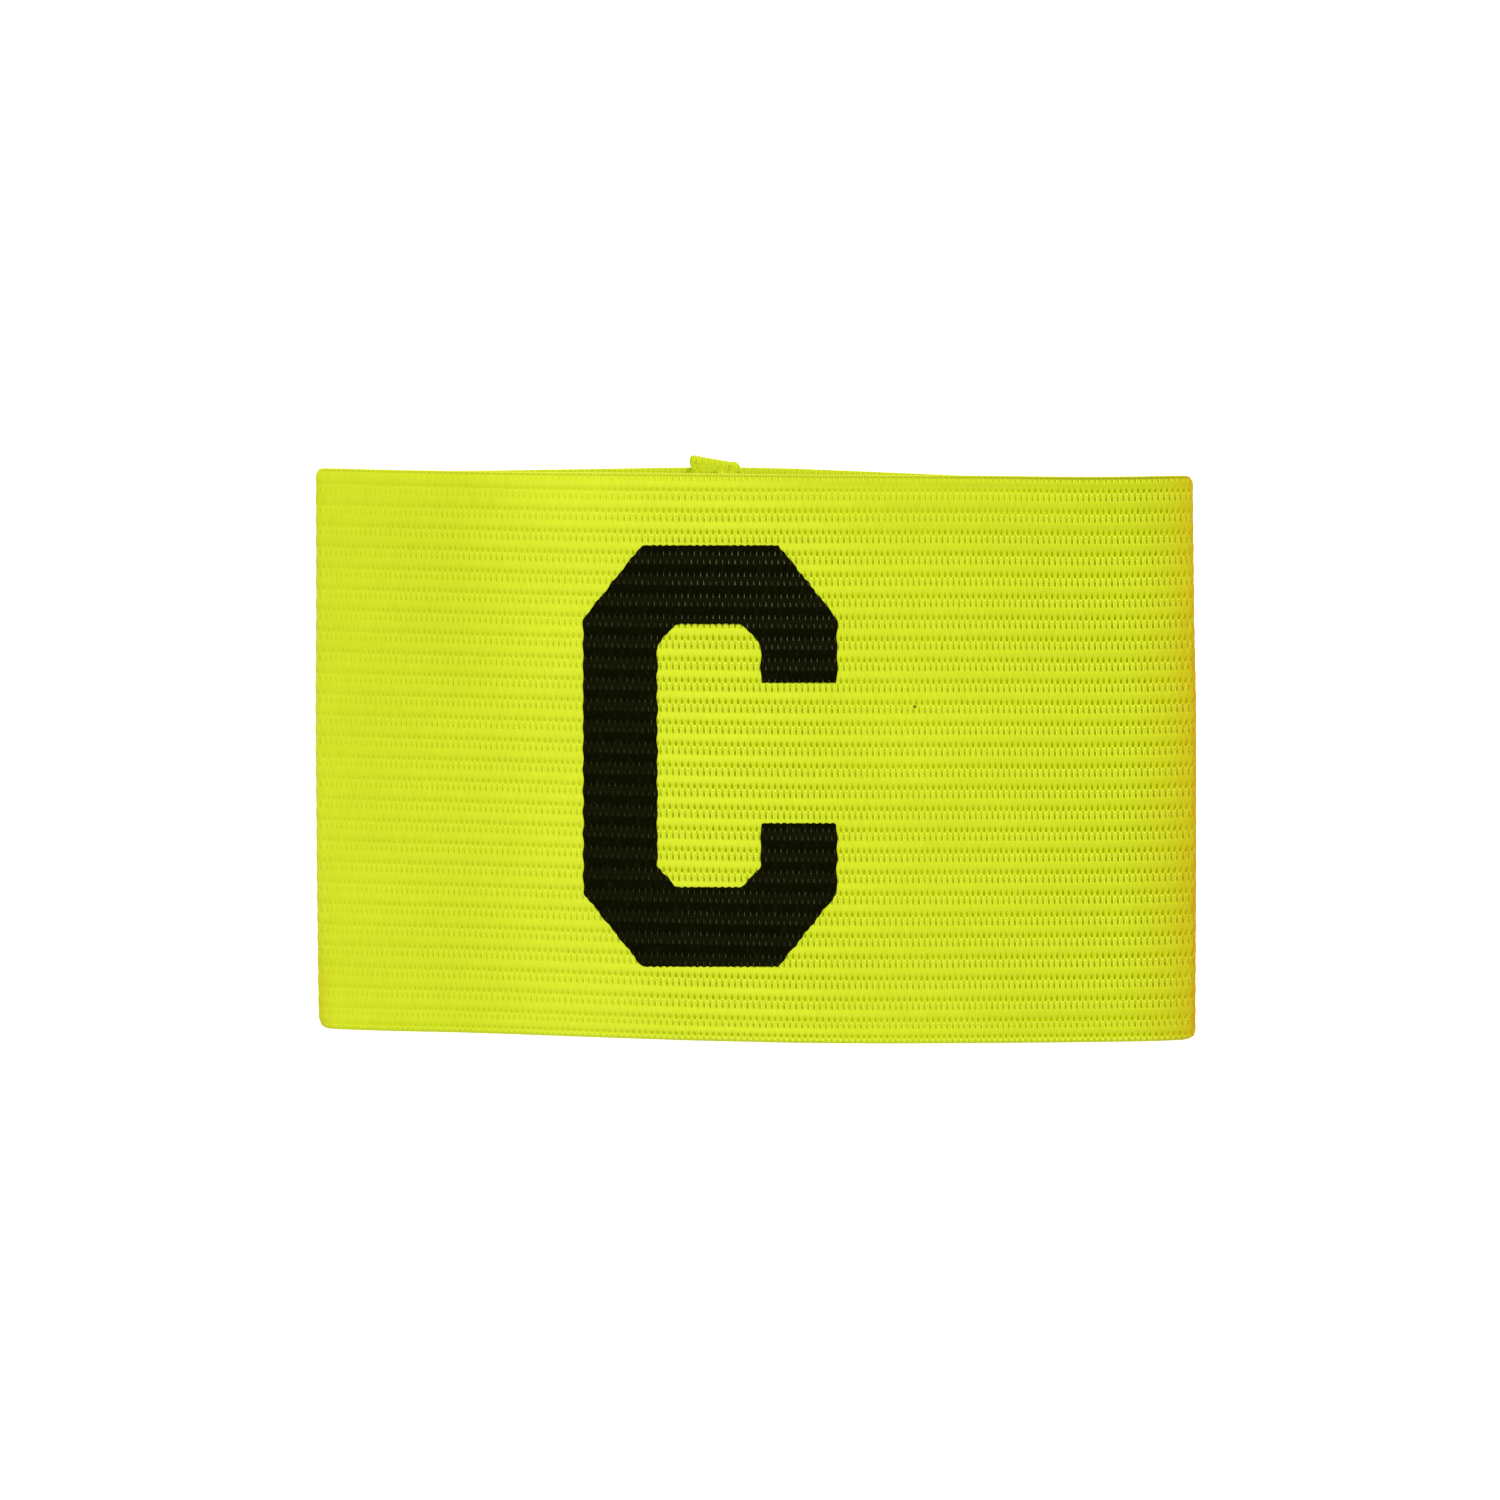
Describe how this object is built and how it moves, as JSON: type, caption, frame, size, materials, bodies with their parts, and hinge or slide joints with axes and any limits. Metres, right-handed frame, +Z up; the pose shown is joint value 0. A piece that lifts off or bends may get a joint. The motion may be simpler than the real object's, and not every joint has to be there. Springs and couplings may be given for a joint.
{
  "type": "captain armband",
  "caption": "Elastic captain's armband: a wide ribbed band sewn into a loop, lying flat, with a block letter printed on its front.",
  "frame": {"origin": "on the surface that the armband lies on, below the middle of its outline", "axes": "+X along the flattened loop, to the right as the letter is read; +Y across the band, to the letter's top; +Z up, out of the printed front"},
  "size_m": [0.1254, 0.0822, 0.0096],
  "materials": {
    "elastic": "fluorescent yellow ribbed elastic webbing",
    "print": "matt black print"
  },
  "bodies": {
    "root": {"elastic_band": "elastic", "captain_letter": "print"}
  },
  "joints": []
}
